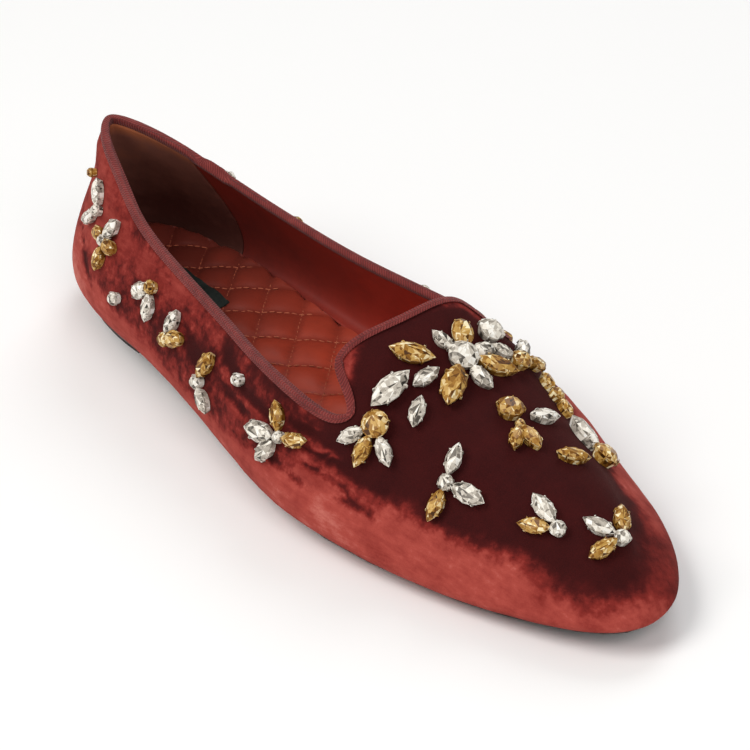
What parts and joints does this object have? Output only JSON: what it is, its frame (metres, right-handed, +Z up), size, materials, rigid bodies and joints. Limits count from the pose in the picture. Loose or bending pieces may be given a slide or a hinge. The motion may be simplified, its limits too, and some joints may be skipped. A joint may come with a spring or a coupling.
{
  "type": "loafer",
  "caption": "Flat velvet loafer for the right foot with a tongue tab, woven tape binding, padded insole, low heel and sprigs of set clear and amber stones over vamp and sides.",
  "frame": {"origin": "On the floor, under the middle of the shoe's box.", "axes": "+X from heel to toe, +Y towards the inner side of the foot, +Z up from the floor."},
  "size_m": [0.2744, 0.0886, 0.0639],
  "materials": {
    "velvet": "dark red velvet with a soft nap",
    "tape": "ribbed woven tape, red brown",
    "insole_leather": "rust red leather, quilted in squares",
    "lining": "smooth lining leather, rust red",
    "sole_leather": "dark brown, lightly burnished",
    "heel_lift": "stacked leather, near black edge",
    "clear_stone": "faceted, foiled behind",
    "amber_stone": "faceted, foiled behind",
    "setting": "polished claw settings"
  },
  "bodies": {
    "root": {"outsole": "sole_leather", "heel": "heel_lift", "upper": "velvet", "insole": "insole_leather", "binding": "tape", "flower": "clear_stone", "petal_back": "amber_stone", "petal_side": "clear_stone", "petal_small": "clear_stone", "petal_low": "clear_stone", "petal_inner": "clear_stone", "petal_crest": "clear_stone", "petal_toe": "amber_stone", "sprig_crest": "amber_stone", "sprig_crest_low": "amber_stone", "sprig_toe_inner": "amber_stone", "sprig_vamp_inner": "amber_stone", "sprig_vamp_outer": "clear_stone", "sprig_notch_outer": "amber_stone", "sprig_notch_inner": "amber_stone", "sprig_toe_outer": "clear_stone", "sprig_tip": "clear_stone", "sprig_fan_outer": "clear_stone", "sprig_fan_inner": "clear_stone", "stud_waist_outer": "clear_stone", "stud_waist_inner": "clear_stone", "sprig_arch_outer": "clear_stone", "sprig_arch_inner": "clear_stone", "sprig_side_outer": "amber_stone", "sprig_side_inner": "amber_stone", "sprig_back_outer": "amber_stone", "sprig_back_inner": "amber_stone", "stud_back_outer": "clear_stone", "stud_back_inner": "clear_stone", "sprig_heel_outer": "clear_stone", "sprig_heel_inner": "clear_stone", "sprig_counter_outer": "clear_stone", "sprig_counter_inner": "clear_stone", "stud_heel_outer": "amber_stone", "stud_heel_inner": "amber_stone"}
  },
  "joints": []
}
